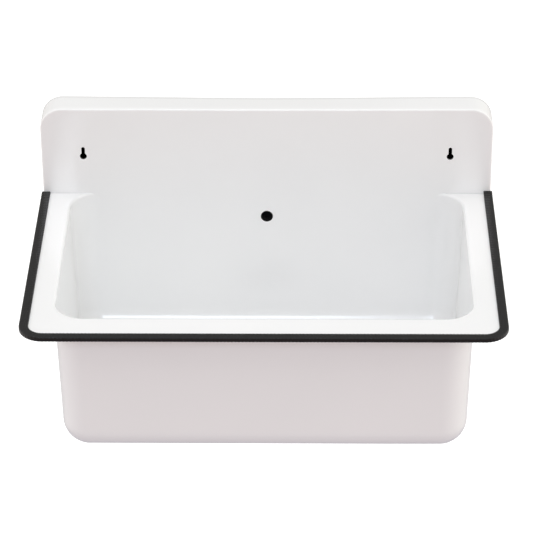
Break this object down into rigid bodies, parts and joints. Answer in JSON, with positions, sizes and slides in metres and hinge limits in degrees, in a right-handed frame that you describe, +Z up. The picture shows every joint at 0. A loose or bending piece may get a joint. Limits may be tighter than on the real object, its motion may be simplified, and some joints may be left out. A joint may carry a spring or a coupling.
{
  "type": "wall-hung bucket sink",
  "caption": "White enamelled steel bucket sink with splashback, black edge trim, keyholes to hang it, piped overflow and a waste with a lift-out plug.",
  "frame": {"origin": "on the wall, in the middle of the rear edge of the splashback's top return", "axes": "+X to the right seen from the front, +Y into the wall, +Z up"},
  "size_m": [0.5094, 0.3402, 0.3406],
  "materials": {
    "enamel": "gloss white enamel",
    "trim_plastic": "fine grained, near black",
    "spring_steel": "plain",
    "stainless": "polished stainless",
    "zinc_steel": "zinc plated",
    "brass": "turned",
    "rubber_black": "matt",
    "pipe_plastic": "satin black"
  },
  "bodies": {
    "sink": {"basin": "enamel", "splashback": "enamel", "rim_trim": "trim_plastic", "trim_core": "spring_steel", "drain_flange": "stainless", "drain_upper_seal": "rubber_black", "drain_lower_seal": "rubber_black", "drain_body": "pipe_plastic", "drain_cross": "pipe_plastic", "drain_outlet": "pipe_plastic", "drain_insert": "brass", "drain_screw": "stainless", "overflow_gasket": "rubber_black", "overflow_elbow": "pipe_plastic", "overflow_studs": "zinc_steel", "overflow_washers": "zinc_steel", "overflow_nuts": "zinc_steel", "overflow_pipe": "pipe_plastic", "upper_slip_nut": "pipe_plastic", "upper_pipe_seal": "rubber_black", "lower_slip_nut": "pipe_plastic", "lower_pipe_seal": "rubber_black"},
    "plug": {"plug_stopper": "rubber_black", "plug_cap": "stainless", "plug_eye": "stainless"},
    "pull_ring": {"plug_ring": "stainless"}
  },
  "joints": [
    {"name": "plug_lift", "type": "slide", "parent": "sink", "child": "plug", "axis": [0, 0, 1], "range_m": [0, 0.1]},
    {"name": "ring_swing", "type": "hinge", "parent": "plug", "child": "pull_ring", "pos_m": [0, -0.1653, -0.2772], "axis": [1, 0, 0], "range_deg": [0, 185]}
  ]
}
